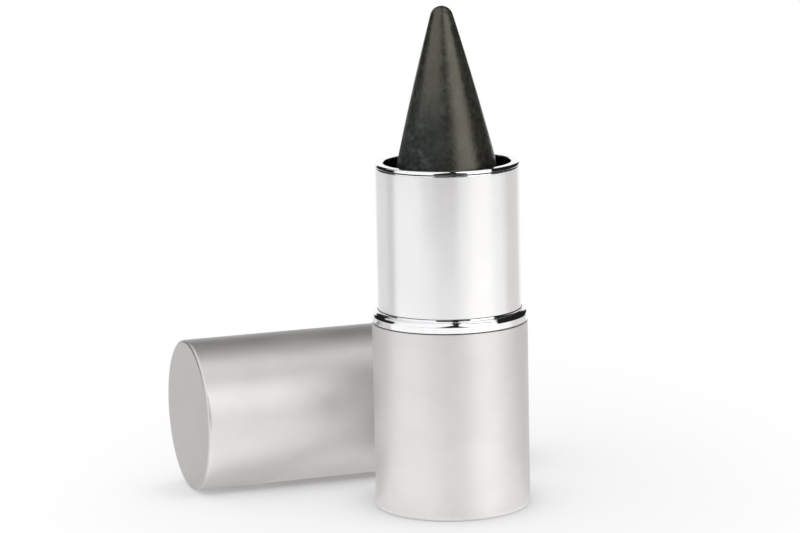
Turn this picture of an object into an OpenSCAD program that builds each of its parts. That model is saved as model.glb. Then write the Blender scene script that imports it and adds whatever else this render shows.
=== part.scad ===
// Twist-up kohl container with a conical stick, shown raised, and its cap lying behind it.
// The container stands on z = 0 with its own axis on Z. Everything is in millimetres.
// A stick in a carrier is lifted by two lugs. They slide in the straight slots of a guide
// tube fixed in the base, and a cam tube turned with the sleeve drives them up and down.

/* [Kohl stick] */
// Diameter of the kohl stick
stick_d = 12.1; // [10:0.1:15]
// Straight length of the stick, from the carrier's floor to the cone
stick_straight = 15.45; // [12.5:0.05:18.5]
// Height of the cone above the straight length
cone_h = 19.1; // [12:0.1:23]
// Radius of the rounded tip
tip_r = 1.4; // [0.8:0.1:2]
// How far the side of the cone bows outwards at its middle
cone_bow = 0.12; // [0:0.01:0.4]

/* [Carrier] */
// Height of the carrier cup that holds the stick
carrier_h = 14; // [11:0.1:17]
// Wall of the carrier cup
carrier_wall = 0.55; // [0.4:0.05:1]
// Floor of the carrier cup
carrier_floor = 1; // [0.7:0.1:1.5]
// Depth of the carrier's mouth below the rim when the stick is raised
carrier_sink = 2.7; // [2.2:0.1:5]
// How far the grip ribs stand out from the carrier's bore
rib_h = 0.17; // [0.1:0.01:0.4]
// Width of a grip rib
rib_w = 0.6; // [0.4:0.1:1]
// Number of grip ribs
rib_count = 6; // [4:1:8]
// Room between the ribs and the stick
stick_gap = 0.03; // [0.01:0.01:0.1]
// Diameter of the filling hole in the carrier's floor
vent_d = 3; // [2:0.5:5]

/* [Twist mechanism] */
// Diameter of the two drive lugs on the carrier
lug_d = 1.8; // [1.4:0.1:2.2]
// Height of the lugs' axis above the underside of the carrier
lug_up = 2.9; // [2:0.1:4]
// Room on each side of a lug in its slots
lug_gap = 0.1; // [0.05:0.05:0.2]
// Extra room above and below a lug where the cam slot slopes
slope_room = 0.06; // [0.04:0.01:0.12]
// Turns of the sleeve over the whole travel of the stick
turns = 1.5; // [1:0.25:2]
// Running gap between the carrier, the guide tube and the cam tube
run_gap = 0.1; // [0.05:0.01:0.2]
// Wall of the guide tube
guide_wall = 0.7; // [0.5:0.05:1]
// Height of the guide tube's foot flange
foot_h = 1.2; // [0.8:0.1:2]
// Wall of the cam tube
cam_wall = 0.7; // [0.55:0.05:1]
// Solid ring left below the cam slots
cam_end = 0.7; // [0.5:0.1:2]
// How far the guide tube's snap bead stands out
snap_out = 0.25; // [0.15:0.05:0.35]
// Height of the snap bead
snap_h = 0.8; // [0.6:0.1:1.2]
// Distance from the top of the guide tube to the top of the snap bead
snap_down = 0.6; // [0.3:0.1:1]
// Section diameter of the drag ring below the cam tube
drag_d = 0.5; // [0.4:0.05:0.6]
// Room left above the drag ring
drag_gap = 0.05; // [0.02:0.01:0.1]

/* [Sleeve] */
// Wall of the metal sleeve
sleeve_wall = 0.3; // [0.25:0.05:0.5]
// Length of sleeve that shows above the base shell
sleeve_show = 19.15; // [15:0.05:23]
// Gap between the sleeve and the bore of the base shell or the cap
sleeve_gap = 0.3; // [0.2:0.05:0.5]
// Height of the rim ring above the sleeve
rim_h = 0.4; // [0.3:0.05:0.8]
// How far the rim ring stands out past the sleeve
rim_over = 0.1; // [0.05:0.05:0.2]
// Radius of the gentle crown round the rim ring's outer face
rim_crown_r = 1.05; // [0.8:0.05:3]
// Rounding of the rim ring's outer edge
rim_edge_r = 0.14; // [0.08:0.02:0.2]
// Length of the rim ring's spigot inside the sleeve
rim_spigot = 1.5; // [1:0.1:3]
// How much wider the rim's opening is than the cam tube's bore, on the radius
rim_lip = 0.06; // [0:0.02:0.2]
// Height of the upright band of the collar ring
collar_band = 0.91; // [0.6:0.01:2]
// Rounding of the collar ring's shoulder, where the cap comes to rest
collar_bead_r = 0.6; // [0.3:0.05:0.6]
// Gap of the parting line between the base shell and the collar ring
parting_gap = 0.12; // [0.08:0.01:0.25]
// Gap round pieces that are pressed together
press_gap = 0.05; // [0.02:0.01:0.08]

/* [Base] */
// Height of the base shell
base_h = 22.95; // [18:0.05:30]
// Wall of the base shell and of the cap
shell_wall = 0.45; // [0.35:0.05:0.8]
// Thickness of the closed ends of the base shell and of the cap
shell_floor = 0.45; // [0.35:0.05:1]
// Rounding of the closed ends' outer edge
shell_edge_r = 0.4; // [0.2:0.05:0.8]
// Thickness of the steel weight
weight_h = 2.4; // [1:0.1:5]
// Bevel on the edges of the steel weight
weight_bevel = 0.3; // [0.1:0.1:0.5]
// Floor of the plastic insert
insert_floor = 0.8; // [0.6:0.1:1.5]
// Thickness of the insert's lip over the guide tube's foot
lip_h = 0.5; // [0.4:0.1:1]
// How far the insert's wall rises past its lip
insert_rise = 0.8; // [0.3:0.1:2]
// Room between turning pieces and the insert
insert_gap = 0.15; // [0.1:0.05:0.3]
// Number of glue flutes round the insert
flute_count = 12; // [8:1:16]
// Radius of a glue flute
flute_r = 0.35; // [0.2:0.05:0.45]

/* [Cap] */
// Length of the cap
cap_len = 40; // [34:0.5:52]
// Wall of the inner cap
liner_wall = 0.7; // [0.5:0.05:1]
// Wall of the plug lip that enters the rim
plug_wall = 0.6; // [0.5:0.05:0.8]
// Depth of the plug lip inside the rim when the cap is on
plug_deep = 1.5; // [0.8:0.1:1.8]
// Room between the plug lip and the rim
plug_gap = 0.06; // [0.03:0.01:0.1]
// Free space between the standing container and the lying cap
cap_apart = 1; // [0.5:0.5:20]
// How far the cap's closed end lies to the left of the container's axis
cap_left = 28; // [20:1:40]

/* [Hidden] */
$fn = 128;
arc_fn = 48;
cut = 1;
// Radii, from the stick outwards
stick_r = stick_d / 2;
carrier_bore_r = stick_r + stick_gap + rib_h;
carrier_r = carrier_bore_r + carrier_wall;
guide_bore_r = carrier_r + run_gap;
guide_r = guide_bore_r + guide_wall;
cam_bore_r = guide_r + run_gap;
cam_r = cam_bore_r + cam_wall;
sleeve_bore_r = cam_r + press_gap;
sleeve_r = sleeve_bore_r + sleeve_wall;
shell_bore_r = sleeve_r + sleeve_gap;
shell_r = shell_bore_r + shell_wall;
insert_r = shell_bore_r - press_gap;
insert_bore_r = cam_r + insert_gap;
foot_r = insert_bore_r - press_gap;
rim_open_r = cam_bore_r + rim_lip;
lug_r = lug_d / 2;
lug_reach = cam_r - run_gap;
// Heights, from the floor upwards
weight_z = shell_floor;
insert_z = weight_z + weight_h;
foot_z = insert_z + insert_floor;
lip_z = foot_z + foot_h + press_gap;
drag_z = lip_z + lip_h;
insert_top = drag_z + insert_rise;
cam_z = drag_z + drag_d + drag_gap;
sleeve_z = insert_top + sleeve_gap;
sleeve_top = base_h + sleeve_show;
rim_z = sleeve_top + rim_h;
spigot_z = sleeve_top - rim_spigot;
cam_top = spigot_z - run_gap;
guide_top = cam_top - 2 * run_gap;
snap_z = guide_top - snap_down - snap_h;
collar_z = base_h + parting_gap;
collar_top = collar_z + collar_band + collar_bead_r;
// The drive. Heights of the lugs' axis with the stick down and with the stick up
slot_half = lug_r + lug_gap;
cam_slot_half = slot_half + slope_room;
lug_low_z = cam_z + cam_end + cam_slot_half;
carrier_z = rim_z - carrier_sink - carrier_h;
lug_z = carrier_z + lug_up;
travel = lug_z - lug_low_z;
pitch = travel / turns;
dwell_a = asin((slot_half + lug_gap) / cam_bore_r);
cam_step_a = 12;
stick_z = carrier_z + carrier_floor;
// The cap, measured from its closed end
cap_rim_u = collar_top + cap_len - rim_z;
plug_r = rim_open_r - plug_gap;
liner_r = shell_bore_r - press_gap;
liner_z = shell_floor + press_gap;
cap_y = 2 * shell_r + cap_apart;

// A section between two radii with its upper outer corner rounded
module rounded_section(r_in, r_out, h, corner_r) {
    intersection() {
        translate([r_in, 0]) square([r_out - r_in, h]);
        union() {
            translate([r_in, 0]) square([r_out - r_in, h - corner_r]);
            translate([0, 0]) square([r_out - corner_r, h]);
            translate([r_out - corner_r, h - corner_r]) circle(r = corner_r, $fn = arc_fn);
        }
    }
}

// Outline of a ring section whose outer face leans in on a gentle crown up to a rounded edge
function crowned_outline(r_in, r_out, h, crown_r, edge_r) =
    let (
        reach = crown_r - edge_r,
        lean = asin((h - edge_r) / reach),
        crown_x = r_out - crown_r,
        edge_x = crown_x + reach * cos(lean),
        crown_steps = 6,
        edge_steps = 6
    )
    concat(
        [[r_in, 0]],
        [for (i = [0:crown_steps - 1])
            let (a = lean * i / crown_steps)
                [crown_x + crown_r * cos(a), crown_r * sin(a)]],
        [for (i = [0:edge_steps])
            let (a = lean + (90 - lean) * i / edge_steps)
                [edge_x + edge_r * cos(a), h - edge_r + edge_r * sin(a)]],
        [[r_in, h]]
    );

// A plain tube between two radii that starts at height z
module tube(r_in, r_out, z, h) {
    translate([0, 0, z])
        rotate_extrude()
            translate([r_in, 0]) square([r_out - r_in, h]);
}

// A deep-drawn cup, closed end down, with a rounded edge round its closed end
module drawn_cup(r_out, r_in, h, end_t, edge_r) {
    translate([0, 0, h])
        mirror([0, 0, 1])
            difference() {
                rotate_extrude() rounded_section(0, r_out, h, edge_r);
                translate([0, 0, -cut]) cylinder(r = r_in, h = h - end_t + cut);
            }
}

// Height of the cam slot's centre line at an angle, with a short level dwell at each end
function slot_z(a) = lug_z + pitch * min(0, max(a, -360 * turns)) / 360;

// A cutter along the cam's path, as a closed band of square section
module cam_slot() {
    first_a = -360 * turns - dwell_a;
    last_a = dwell_a;
    inner_steps = round(360 * turns / cam_step_a);
    stops = concat([first_a], [for (i = [0:inner_steps]) -360 * turns * (1 - i / inner_steps)], [last_a]);
    r_in = cam_bore_r - cut / 2;
    r_out = cam_r + cut / 2;
    corners = [[r_in, -cam_slot_half], [r_out, -cam_slot_half], [r_out, cam_slot_half], [r_in, cam_slot_half]];
    points = [for (a = stops) for (c = corners) [c[0] * cos(a), c[0] * sin(a), slot_z(a) + c[1]]];
    last = len(stops) - 1;
    sides = [
        for (i = [0:last - 1]) for (k = [0:3])
            let (p = 4 * i + k, q = 4 * i + (k + 1) % 4)
                each [[p, q, q + 4], [p, q + 4, p + 4]]
    ];
    ends = [[0, 2, 1], [0, 3, 2], [4 * last, 4 * last + 1, 4 * last + 2], [4 * last, 4 * last + 2, 4 * last + 3]];
    polyhedron(points = points, faces = concat(sides, ends), convexity = 6);
}

// Outline of the cone, from its shoulder up to the pole of the tip
function cone_outline() =
    let (
        lean = atan((stick_r - tip_r) / (cone_h - tip_r)),
        tip_a = lean + atan(4 * cone_bow / cone_h),
        foot = [stick_r, stick_straight],
        tip_c = stick_straight + cone_h - tip_r,
        end = [tip_r * cos(tip_a), tip_c + tip_r * sin(tip_a)],
        side_steps = 12,
        tip_steps = 10
    )
    concat(
        [for (i = [0:side_steps - 1])
            let (t = i / side_steps)
                foot + (end - foot) * t + 4 * cone_bow * t * (1 - t) * [cos(lean), sin(lean)]],
        [for (i = [0:tip_steps])
            let (a = tip_a + (90 - tip_a) * i / tip_steps)
                [i == tip_steps ? 0 : tip_r * cos(a), tip_c + tip_r * sin(a)]]
    );

// Outer cup of the base, drawn from aluminium
module base_shell() {
    color("#cbc8c6")
        drawn_cup(shell_r, shell_bore_r, base_h, shell_floor, shell_edge_r);
}

// Steel disc that gives the container a low, firm stand
module base_weight() {
    r = insert_r;
    color("#7f8184")
        translate([0, 0, weight_z])
            rotate_extrude()
                polygon([
                    [0, 0], [r - weight_bevel, 0], [r, weight_bevel],
                    [r, weight_h - weight_bevel], [r - weight_bevel, weight_h], [0, weight_h]
                ]);
}

// Plastic ring glued in the base, whose lip holds the foot of the guide tube
module base_insert() {
    color("#2b2b2d")
        difference() {
            translate([0, 0, insert_z]) cylinder(r = insert_r, h = insert_top - insert_z);
            translate([0, 0, foot_z]) cylinder(r = insert_bore_r, h = lip_z - foot_z);
            translate([0, 0, lip_z - cut]) cylinder(r = guide_r + insert_gap, h = lip_h + 2 * cut);
            translate([0, 0, drag_z]) cylinder(r = insert_bore_r, h = insert_rise + cut);
            for (i = [0:flute_count - 1])
                rotate(360 / flute_count * i)
                    translate([insert_r, 0, insert_z - cut])
                        cylinder(r = flute_r, h = insert_top - insert_z + 2 * cut, $fn = 24);
        }
}

// Tube fixed in the base, slotted from the top into two legs that keep the carrier from turning
module guide_tube() {
    color("#37383a")
        difference() {
            union() {
                tube(guide_bore_r, foot_r, foot_z, foot_h);
                tube(guide_bore_r, guide_r, foot_z, guide_top - foot_z);
                translate([0, 0, snap_z])
                    rotate_extrude()
                        polygon([
                            [guide_bore_r, 0], [guide_r, 0], [guide_r + snap_out, snap_out],
                            [guide_r + snap_out, snap_h - snap_out], [guide_r, snap_h], [guide_bore_r, snap_h]
                        ]);
            }
            translate([-foot_r - cut, -slot_half, lug_low_z - slot_half])
                cube([2 * (foot_r + cut), 2 * slot_half, guide_top]);
        }
}

// Silicone ring under the cam tube that gives the twist its smooth drag
module drag_ring() {
    color("#b9b4ad")
        translate([0, 0, drag_z + drag_d / 2])
            rotate_extrude()
                translate([(cam_bore_r + cam_r) / 2, 0]) circle(d = drag_d, $fn = arc_fn);
}

// Metal sleeve that is held and turned, down inside the base to the insert
module sleeve_shell() {
    color("#dedcdc")
        tube(sleeve_bore_r, sleeve_r, sleeve_z, sleeve_top - sleeve_z);
}

// Bright ring pressed on the sleeve above the parting line
module collar_ring() {
    color("#eceded")
        translate([0, 0, collar_z])
            rotate_extrude()
                rounded_section(sleeve_r + press_gap, shell_r, collar_band + collar_bead_r, collar_bead_r);
}

// Bright ring that closes the top of the sleeve, with a spigot down inside it
module rim_ring() {
    color("#eceded")
        union() {
            translate([0, 0, sleeve_top])
                rotate_extrude()
                    polygon(crowned_outline(rim_open_r, sleeve_r + rim_over, rim_h, rim_crown_r, rim_edge_r));
            tube(rim_open_r, sleeve_bore_r - press_gap, spigot_z, rim_spigot + rim_h / 2);
        }
}

// Tube pressed in the sleeve, with two helical slots that lift the carrier as it turns
module cam_tube() {
    color("#4a4b4e")
        difference() {
            tube(cam_bore_r, cam_r, cam_z, cam_top - cam_z);
            for (side = [0, 180])
                rotate(side) cam_slot();
            tube(cam_bore_r - cut / 2, guide_r + snap_out + run_gap, snap_z - run_gap, snap_h + 2 * run_gap);
        }
}

// Cup that holds the stick, with grip ribs inside and a drive lug on each side
module carrier_cup() {
    color("#1f2021")
        translate([0, 0, carrier_z])
            difference() {
                union() {
                    cylinder(r = carrier_r, h = carrier_h);
                    translate([-lug_reach, 0, lug_up])
                        rotate([0, 90, 0]) cylinder(r = lug_r, h = 2 * lug_reach, $fn = 48);
                }
                difference() {
                    translate([0, 0, carrier_floor])
                        cylinder(r = carrier_bore_r, h = carrier_h - carrier_floor + cut);
                    for (i = [0:rib_count - 1])
                        rotate(360 / rib_count * (i + 0.5))
                            translate([stick_r + stick_gap, -rib_w / 2, 0])
                                cube([rib_h + cut, rib_w, carrier_h - rib_w]);
                }
                translate([0, 0, -cut]) cylinder(d = vent_d, h = carrier_floor + 2 * cut, $fn = 48);
            }
}

// Stick of kohl, cast in the carrier and sharpened to a blunt cone
module kohl_stick() {
    color("#3a3b37")
        translate([0, 0, stick_z])
            rotate_extrude()
                polygon(concat([[0, 0], [stick_r, 0]], cone_outline()));
}

// Puts a piece that is drawn with the cap's closed end on z = 0 where the cap lies
module lay_cap() {
    translate([-cap_left, cap_y, shell_r])
        rotate([0, 90, 0]) children();
}

// Outer cup of the cap, drawn from aluminium
module cap_shell() {
    color("#d2cfcd")
        lay_cap()
            drawn_cup(shell_r, shell_bore_r, cap_len, shell_floor, shell_edge_r);
}

// Inner cap glued in the closed end, with a plug lip that enters the rim
module cap_liner() {
    shoulder_u = cap_rim_u - press_gap;
    plug_u = cap_rim_u + plug_deep;
    color("#e6e4e0")
        lay_cap()
            rotate_extrude()
                polygon([
                    [0, liner_z], [liner_r, liner_z], [liner_r, shoulder_u],
                    [plug_r, shoulder_u], [plug_r, plug_u - plug_wall / 2], [plug_r - plug_wall / 2, plug_u],
                    [plug_r - plug_wall, plug_u], [plug_r - plug_wall, shoulder_u - liner_wall],
                    [liner_r - liner_wall, shoulder_u - 2 * liner_wall],
                    [liner_r - liner_wall, liner_z + liner_wall], [0, liner_z + liner_wall]
                ]);
}

base_shell();
base_weight();
base_insert();
guide_tube();
drag_ring();
sleeve_shell();
collar_ring();
rim_ring();
cam_tube();
carrier_cup();
kohl_stick();
cap_shell();
cap_liner();
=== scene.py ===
# %% [markdown]
# The looks of a twist-up kohl container
#
# The imported model is the fixed frame of this lesson. It holds every piece of the container, in
# metres and in the right place, but as plain triangles with no finish. We load it once, and from
# then on a piece is either given a finish as it is, or a finer copy is turned that stands for it.

# %% Load the imported model
import math

import bpy
from mathutils import Matrix, Vector


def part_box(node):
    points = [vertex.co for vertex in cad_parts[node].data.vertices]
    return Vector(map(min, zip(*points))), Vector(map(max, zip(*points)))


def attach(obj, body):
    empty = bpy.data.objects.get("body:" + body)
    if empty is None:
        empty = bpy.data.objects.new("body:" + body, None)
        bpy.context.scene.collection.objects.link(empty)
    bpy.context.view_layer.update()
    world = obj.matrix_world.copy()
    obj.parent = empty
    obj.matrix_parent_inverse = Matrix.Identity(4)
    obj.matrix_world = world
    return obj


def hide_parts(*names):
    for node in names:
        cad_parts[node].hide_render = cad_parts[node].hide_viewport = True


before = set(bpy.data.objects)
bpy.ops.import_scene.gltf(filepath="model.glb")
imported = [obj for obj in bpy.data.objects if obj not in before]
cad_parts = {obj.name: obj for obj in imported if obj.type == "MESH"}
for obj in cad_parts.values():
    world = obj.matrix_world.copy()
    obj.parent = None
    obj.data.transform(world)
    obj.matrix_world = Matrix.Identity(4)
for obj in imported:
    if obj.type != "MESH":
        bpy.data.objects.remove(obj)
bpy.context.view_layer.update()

MM = 0.001

# %% [markdown]
# The camera
#
# A real camera stood on a tripod in front of the container, a little above it, and was turned
# by about a degree. Its place was measured on the outlines of the object, so it is written here
# as a distance, a height and four angles. Building its matrix from the outside in keeps each
# number readable: walk round the object, step back and up, then turn, tilt and roll the camera.

# %% Set up the camera
CAMERA_ROUND = math.radians(-20.2)
CAMERA_BACK = 376.3 * MM
CAMERA_HIGH = 97.64 * MM
CAMERA_PAN = 0.0158
CAMERA_TILT = 0.1787
CAMERA_ROLL = -0.0211
FOCAL_PIXELS = 3141.5
PICTURE_WIDE = 800
PICTURE_TALL = 533
SENSOR_WIDE_MM = 36.0

camera_data = bpy.data.cameras.new("camera")
camera_data.sensor_width = SENSOR_WIDE_MM
camera_data.lens = FOCAL_PIXELS / PICTURE_WIDE * SENSOR_WIDE_MM
camera_data.clip_start = 0.01
camera_data.clip_end = 20.0
camera = bpy.data.objects.new("camera", camera_data)
bpy.context.scene.collection.objects.link(camera)
camera.matrix_world = (
    Matrix.Rotation(CAMERA_ROUND, 4, "Z")
    @ Matrix.Translation((0, -CAMERA_BACK, CAMERA_HIGH))
    @ Matrix.Rotation(CAMERA_PAN, 4, "Z")
    @ Matrix.Rotation(math.pi / 2 - CAMERA_TILT, 4, "X")
    @ Matrix.Rotation(CAMERA_ROLL, 4, "Z")
)
bpy.context.scene.camera = camera


def on_picture(point):
    """Where a point of the object falls in the picture, in pixels from its top left corner."""
    p = camera.matrix_world.inverted() @ Vector(point)
    return (
        round(PICTURE_WIDE / 2 + FOCAL_PIXELS * p.x / -p.z, 1),
        round(PICTURE_TALL / 2 - FOCAL_PIXELS * p.y / -p.z, 1),
    )


print("foot of the container", on_picture((0, 0, 0)))

# %% [markdown]
# Node trees as plain expressions
#
# Finishes, the studio light and the shapes are all made of nodes. Wired by hand, even a short
# sum takes many lines. Here one small class holds an output socket and turns Python's operators
# into Math nodes, and one method of the tree adds any other node. The same two classes serve
# shader trees and Geometry Nodes, because both kinds of tree use the same Math node.


# %% Wrap a socket
class Value:
    """One output socket, which can be used in sums like a number."""

    def __init__(self, tree, socket):
        self.tree = tree
        self.socket = socket

    def __add__(self, other):
        return self.tree.maths("ADD", self, other)

    def __radd__(self, other):
        return self.tree.maths("ADD", other, self)

    def __sub__(self, other):
        return self.tree.maths("SUBTRACT", self, other)

    def __rsub__(self, other):
        return self.tree.maths("SUBTRACT", other, self)

    def __mul__(self, other):
        return self.tree.maths("MULTIPLY", self, other)

    def __rmul__(self, other):
        return self.tree.maths("MULTIPLY", other, self)

    def __truediv__(self, other):
        return self.tree.maths("DIVIDE", self, other)

    def __rtruediv__(self, other):
        return self.tree.maths("DIVIDE", other, self)

    def __mod__(self, other):
        return self.tree.maths("FLOORED_MODULO", self, other)

    def __floordiv__(self, other):
        return self.tree.maths("FLOOR", self / other)

    def __abs__(self):
        return self.tree.maths("ABSOLUTE", self)

    def out(self, name):
        """Another output of the node that this value comes from."""
        return Value(self.tree, self.socket.node.outputs[name])


# %% Wrap a tree
class Tree:
    """A node tree, with one method for Math nodes and one for every other node."""

    def __init__(self, nodes):
        self.nodes = nodes

    def join(self, value, socket):
        """Links a value to a socket, or writes a number, a vector, a colour or a name in it."""
        if isinstance(value, Value):
            self.nodes.links.new(value.socket, socket)
        elif socket.type == "RGBA":
            socket.default_value = (*value, 1.0)
        else:
            socket.default_value = value

    def maths(self, operation, *values):
        return self.add("ShaderNodeMath", dict(enumerate(values)), operation=operation)

    def add(self, kind, sockets=None, out=0, **settings):
        """Adds a node, makes its settings, fills its sockets and gives one of its outputs."""
        node = self.nodes.nodes.new(kind)
        for name, value in settings.items():
            setattr(node, name, value)
        for name, value in (sockets or {}).items():
            self.join(value, node.inputs[name])
        return Value(self, node.outputs[out] if len(node.outputs) else None)

    def step(self, value, start, end, low=0.0, high=1.0):
        """Goes smoothly from low at start to high at end."""
        ends = {"From Min": start, "From Max": end, "To Min": low, "To Max": high}
        return self.add("ShaderNodeMapRange", {"Value": value, **ends}, interpolation_type="SMOOTHSTEP")

    def fall(self, value, start, end):
        """Goes smoothly from 1 at start down to 0 at end."""
        return self.step(value, start, end, 1.0, 0.0)

    def band(self, value, rise, fall):
        """A mask that comes in over one stretch of a value and goes out over a later one."""
        return self.step(value, *rise) * self.fall(value, *fall)

    def length(self, a, b):
        """Length of the sloping side of a right-angled triangle whose other sides are a and b."""
        return self.maths("SQRT", a * a + b * b)

    def blend(self, share, a, b):
        """Mixes two colours: a where share is 0, b where it is 1."""
        return self.add("ShaderNodeMix", {0: share, 6: a, 7: b}, out=2, data_type="RGBA")


print("tree helpers ready")

# %% [markdown]
# A studio for bright metal
#
# Polished and satin metal has almost no colour of its own: what we see is the room. A product
# like this is shot on a white table in front of a white sheet, under large soft lights, with
# dark surroundings everywhere else. Lamps and cards could stand for all of it, but every one of
# them would have to be placed by hand and would add noise. Here the room is painted on the world
# by direction, so a light is simply a range of angles. Four angles are enough. Seen from the
# container, round is how far a direction lies to the right of the camera, and up is how far it
# lies above the horizon. Over goes from the horizon at the camera, past straight up, and down
# to the back, and side is the slant to the right of the upright plane through the camera.

# %% Measure directions from the container
world = bpy.data.worlds.new("studio")
bpy.context.scene.world = world
world.use_nodes = True
world.node_tree.nodes.clear()
studio = Tree(world.node_tree)

to_camera = (math.sin(CAMERA_ROUND), -math.cos(CAMERA_ROUND), 0.0)
to_right = (math.cos(CAMERA_ROUND), math.sin(CAMERA_ROUND), 0.0)
straight_up = (0.0, 0.0, 1.0)
direction = studio.add("ShaderNodeTexCoord", out="Generated")


def along(axis):
    """How far the ray's direction goes along an axis."""
    sockets = {0: direction, 1: axis}
    return studio.add("ShaderNodeVectorMath", sockets, out="Value", operation="DOT_PRODUCT")


DEGREES = 180 / math.pi
round_a = studio.maths("ARCTAN2", along(to_right), along(to_camera)) * DEGREES
up_a = studio.maths("ARCSINE", along(straight_up)) * DEGREES
over_a = studio.maths("ARCTAN2", along(straight_up), along(to_camera)) * DEGREES
side_a = studio.maths("ARCSINE", along(to_right)) * DEGREES


def between(angle, low, high, soft):
    """A mask that is 1 where an angle lies between two others, with soft edges."""
    return studio.band(angle, (low - soft, low + soft), (high - soft, high + soft))


print("to the right of the camera", [round(c, 3) for c in to_right])

# %% [markdown]
# Two lights and a sheet overhead
#
# A softer light stands to the left over the camera and a stronger one to the right, with a
# narrow dark seam between them that leans a little. The seam gives the dark marks at the front
# of the bright rings. Both lights pass into a sheet overhead, which weakens towards the back. A
# dark gap crosses the right-hand light, and the collar shows it as a thin line on its right.

# %% Hang the lights
DARK_ROOM = (0.016, 0.015, 0.014)
LEFT_LIGHT = (1.04, 1.05, 1.06)
RIGHT_LIGHT = (1.65, 1.64, 1.60)
OVERHEAD = (0.95, 0.95, 0.95)
OVERHEAD_BACK = (0.62, 0.62, 0.62)
RIGHT_OVERHEAD = (1.55, 1.55, 1.54)
RIGHT_OVERHEAD_BACK = (0.82, 0.82, 0.82)
LIGHTS_LOW = 0.0
LIGHTS_BACK = 138.0
LEFT_SOFT = 3.0
RIGHT_SOFT = 2.0
RIGHT_GAP = (61.0, 77.0)
LEFT_GOES_OVER = (50.0, 80.0)
LEFT_WEAKENS = (90.0, LIGHTS_BACK)
RIGHT_WEAKENS = (80.0, 120.0)
SEAM_SIDE = 8.5
SEAM_SIDE_AT = 30.0
SEAM_SLANT = 0.06
SEAM_WIDENS = (85.0, 125.0)
SEAM_HALF = (3.8, 10.0)
SEAM_SOFT = 1.2

seam = side_a - (SEAM_SIDE - (over_a - SEAM_SIDE_AT) * SEAM_SLANT)
half_seam = studio.step(over_a, *SEAM_WIDENS, *SEAM_HALF)
left_of_seam = studio.fall(seam + half_seam, -SEAM_SOFT, SEAM_SOFT)
right_of_seam = studio.step(seam - half_seam, -SEAM_SOFT, SEAM_SOFT)

left_share = studio.step(over_a, *LEFT_WEAKENS)
left_light = studio.blend(left_share, OVERHEAD, OVERHEAD_BACK)
left_light = studio.blend(studio.step(over_a, *LEFT_GOES_OVER), LEFT_LIGHT, left_light)
right_share = studio.step(over_a, *RIGHT_WEAKENS)
right_overhead = studio.blend(right_share, RIGHT_OVERHEAD, RIGHT_OVERHEAD_BACK)

on_left = left_of_seam * between(over_a, LIGHTS_LOW, LIGHTS_BACK, LEFT_SOFT)
before_gap = right_of_seam * between(over_a, LIGHTS_LOW, RIGHT_GAP[0], RIGHT_SOFT)
beyond_gap = right_of_seam * between(over_a, RIGHT_GAP[1], LIGHTS_BACK, RIGHT_SOFT)
sky = studio.blend(on_left, DARK_ROOM, left_light)
sky = studio.blend(before_gap, sky, RIGHT_LIGHT)
sky = studio.blend(beyond_gap, sky, right_overhead)
print("nodes for the lights", len(world.node_tree.nodes))

# %% [markdown]
# The dark walls and the white sheet
#
# Metal needs something dark to show its roundness. The back of the room on the right is dark,
# and so are a card on the left and a low gap straight in front, which narrows as it goes up.
# The sheet behind the container is white, and so is the floor beyond the table, in front and
# behind. Low in front it is dimmer, as it is where a camera on its stand keeps light away.

# %% Darken the walls and hang the sheet
WHITE = (1.0, 1.0, 1.0)
RIGHT_BACK_RIGHT = 0.8
RIGHT_BACK_AWAY = 0.6
RIGHT_BACK_EDGE = (0.56, 0.62)
CARD_ROUND = (-116.0, -92.0)
CARD_UP = (-30.0, 26.0)
CARD_SOFT = 3.0
SHEET_TURN = 6.0
SHEET_SIDES = (152.0, 160.0)
SHEET_TOP = (15.0, 19.0)
FRONT_SIDES = (70.0, 76.0)
FLOOR_TOP = (-4.0, -3.0)
DIM_FLOOR = (0.68, 0.67, 0.67)
DIM_TURN = -14.0
DIM_SIDES = (24.0, 34.0)
DIM_UP = (-14.0, -4.0)
GAP_TURN = 5.5
GAP_UP = (-4.0, 33.0)
GAP_NARROWS = (12.0, 32.0)
GAP_HALF = (27.0, 6.0)
GAP_SOFT = 2.0
LOW_SOFT = 1.5

right_back = tuple(RIGHT_BACK_RIGHT * r - RIGHT_BACK_AWAY * c for r, c in zip(to_right, to_camera))
sky = studio.blend(studio.step(along(right_back), *RIGHT_BACK_EDGE), sky, DARK_ROOM)
card = between(round_a, *CARD_ROUND, CARD_SOFT) * between(up_a, *CARD_UP, CARD_SOFT)
sky = studio.blend(card, sky, DARK_ROOM)

sheet = studio.step(abs(round_a - SHEET_TURN), *SHEET_SIDES) * studio.fall(up_a, *SHEET_TOP)
sky = studio.blend(sheet, sky, WHITE)
front_or_back = studio.maths("MAXIMUM", sheet, studio.fall(abs(round_a), *FRONT_SIDES))
sky = studio.blend(studio.fall(up_a, *FLOOR_TOP) * front_or_back, sky, WHITE)
dim = studio.fall(abs(round_a - DIM_TURN), *DIM_SIDES) * between(up_a, *DIM_UP, LOW_SOFT)
sky = studio.blend(dim, sky, DIM_FLOOR)

half_gap = studio.step(up_a, *GAP_NARROWS, *GAP_HALF)
low_gap = studio.fall(abs(round_a - GAP_TURN) - half_gap, -GAP_SOFT, GAP_SOFT)
sky = studio.blend(low_gap * between(up_a, *GAP_UP, LOW_SOFT), sky, DARK_ROOM)
print("nodes with the walls", len(world.node_tree.nodes))

# %% [markdown]
# Who sees the studio
#
# A matt surface would take its shade from the whole painted room, and its colour would no
# longer be the one that we write. So only shiny rays meet the painting. Every other ray,
# the camera's own too, meets an even white sky of strength one.

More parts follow.
